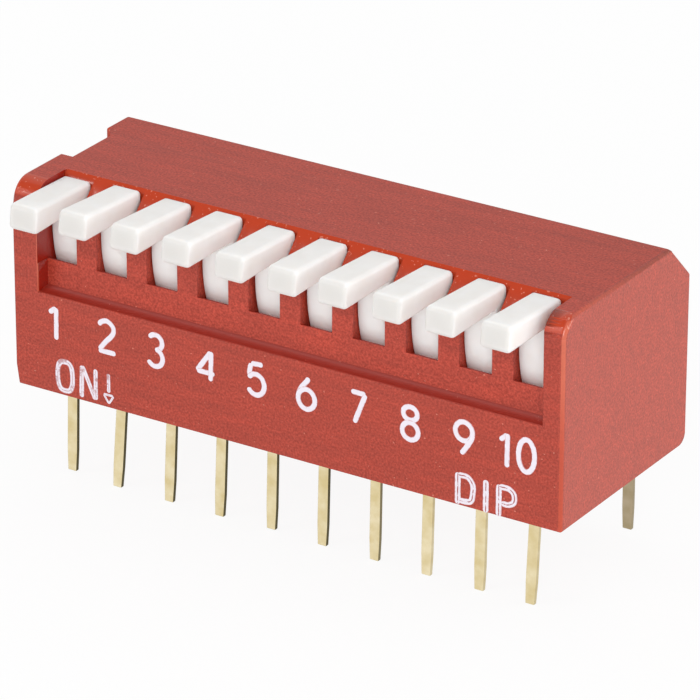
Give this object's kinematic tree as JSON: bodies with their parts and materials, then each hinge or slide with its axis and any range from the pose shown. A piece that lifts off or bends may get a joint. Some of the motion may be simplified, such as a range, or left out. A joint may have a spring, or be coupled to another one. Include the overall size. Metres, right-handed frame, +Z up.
{
  "type": "dip switch",
  "caption": "Piano-key DIP switch: white rocking keys in the front of a red moulded body, over two rows of through-hole terminals.",
  "frame": {"origin": "centre of the terminal grid on the seating plane, at the underside of the base", "axes": "+X along the row from position 1 to position 10, +Y from the keys to the back, +Z up from the board"},
  "size_m": [0.0268, 0.0123, 0.0139],
  "materials": {
    "cover_plastic": "moulded thermoplastic, brick red, fine satin grain",
    "base_plastic": "moulded thermoplastic, brick red",
    "key_plastic": "moulded thermoplastic, warm white, satin",
    "contact_bronze": "stamped phosphor bronze, gold flash",
    "terminal_plating": "stamped brass strip, pale gold plating, satin",
    "print_ink": "white pad-printed ink"
  },
  "bodies": {
    "body": {"cover": "cover_plastic", "base": "base_plastic", "front_terminal_1": "terminal_plating", "front_terminal_2": "terminal_plating", "front_terminal_3": "terminal_plating", "front_terminal_4": "terminal_plating", "front_terminal_5": "terminal_plating", "front_terminal_6": "terminal_plating", "front_terminal_7": "terminal_plating", "front_terminal_8": "terminal_plating", "front_terminal_9": "terminal_plating", "front_terminal_10": "terminal_plating", "rear_terminal_1": "terminal_plating", "rear_terminal_2": "terminal_plating", "rear_terminal_3": "terminal_plating", "rear_terminal_4": "terminal_plating", "rear_terminal_5": "terminal_plating", "rear_terminal_6": "terminal_plating", "rear_terminal_7": "terminal_plating", "rear_terminal_8": "terminal_plating", "rear_terminal_9": "terminal_plating", "rear_terminal_10": "terminal_plating"},
    "key_1_body": {"key_1": "key_plastic", "contact_strip_1": "contact_bronze"},
    "key_2_body": {"key_2": "key_plastic", "contact_strip_2": "contact_bronze"},
    "key_3_body": {"key_3": "key_plastic", "contact_strip_3": "contact_bronze"},
    "key_4_body": {"key_4": "key_plastic", "contact_strip_4": "contact_bronze"},
    "key_5_body": {"key_5": "key_plastic", "contact_strip_5": "contact_bronze"},
    "key_6_body": {"key_6": "key_plastic", "contact_strip_6": "contact_bronze"},
    "key_7_body": {"key_7": "key_plastic", "contact_strip_7": "contact_bronze"},
    "key_8_body": {"key_8": "key_plastic", "contact_strip_8": "contact_bronze"},
    "key_9_body": {"key_9": "key_plastic", "contact_strip_9": "contact_bronze"},
    "key_10_body": {"key_10": "key_plastic", "contact_strip_10": "contact_bronze"}
  },
  "joints": [
    {"name": "key_1_press", "type": "hinge", "parent": "body", "child": "key_1_body", "pos_m": [0, 0.0011, 0.0072], "axis": [1, 0, 0], "range_deg": [0, 22.2]},
    {"name": "key_2_press", "type": "hinge", "parent": "body", "child": "key_2_body", "pos_m": [0, 0.0011, 0.0072], "axis": [1, 0, 0], "range_deg": [0, 23.9]},
    {"name": "key_3_press", "type": "hinge", "parent": "body", "child": "key_3_body", "pos_m": [0, 0.0011, 0.0072], "axis": [1, 0, 0], "range_deg": [0, 23.85]},
    {"name": "key_4_press", "type": "hinge", "parent": "body", "child": "key_4_body", "pos_m": [0, 0.0011, 0.0072], "axis": [1, 0, 0], "range_deg": [0, 23.95]},
    {"name": "key_5_press", "type": "hinge", "parent": "body", "child": "key_5_body", "pos_m": [0, 0.0011, 0.0072], "axis": [1, 0, 0], "range_deg": [0, 23.5]},
    {"name": "key_6_press", "type": "hinge", "parent": "body", "child": "key_6_body", "pos_m": [0, 0.0011, 0.0072], "axis": [1, 0, 0], "range_deg": [0, 23.55]},
    {"name": "key_7_press", "type": "hinge", "parent": "body", "child": "key_7_body", "pos_m": [0, 0.0011, 0.0072], "axis": [1, 0, 0], "range_deg": [0, 23.8]},
    {"name": "key_8_press", "type": "hinge", "parent": "body", "child": "key_8_body", "pos_m": [0, 0.0011, 0.0072], "axis": [1, 0, 0], "range_deg": [0, 23.5]},
    {"name": "key_9_press", "type": "hinge", "parent": "body", "child": "key_9_body", "pos_m": [0, 0.0011, 0.0072], "axis": [1, 0, 0], "range_deg": [0, 23.65]},
    {"name": "key_10_press", "type": "hinge", "parent": "body", "child": "key_10_body", "pos_m": [0, 0.0011, 0.0072], "axis": [1, 0, 0], "range_deg": [0, 23.45]}
  ]
}
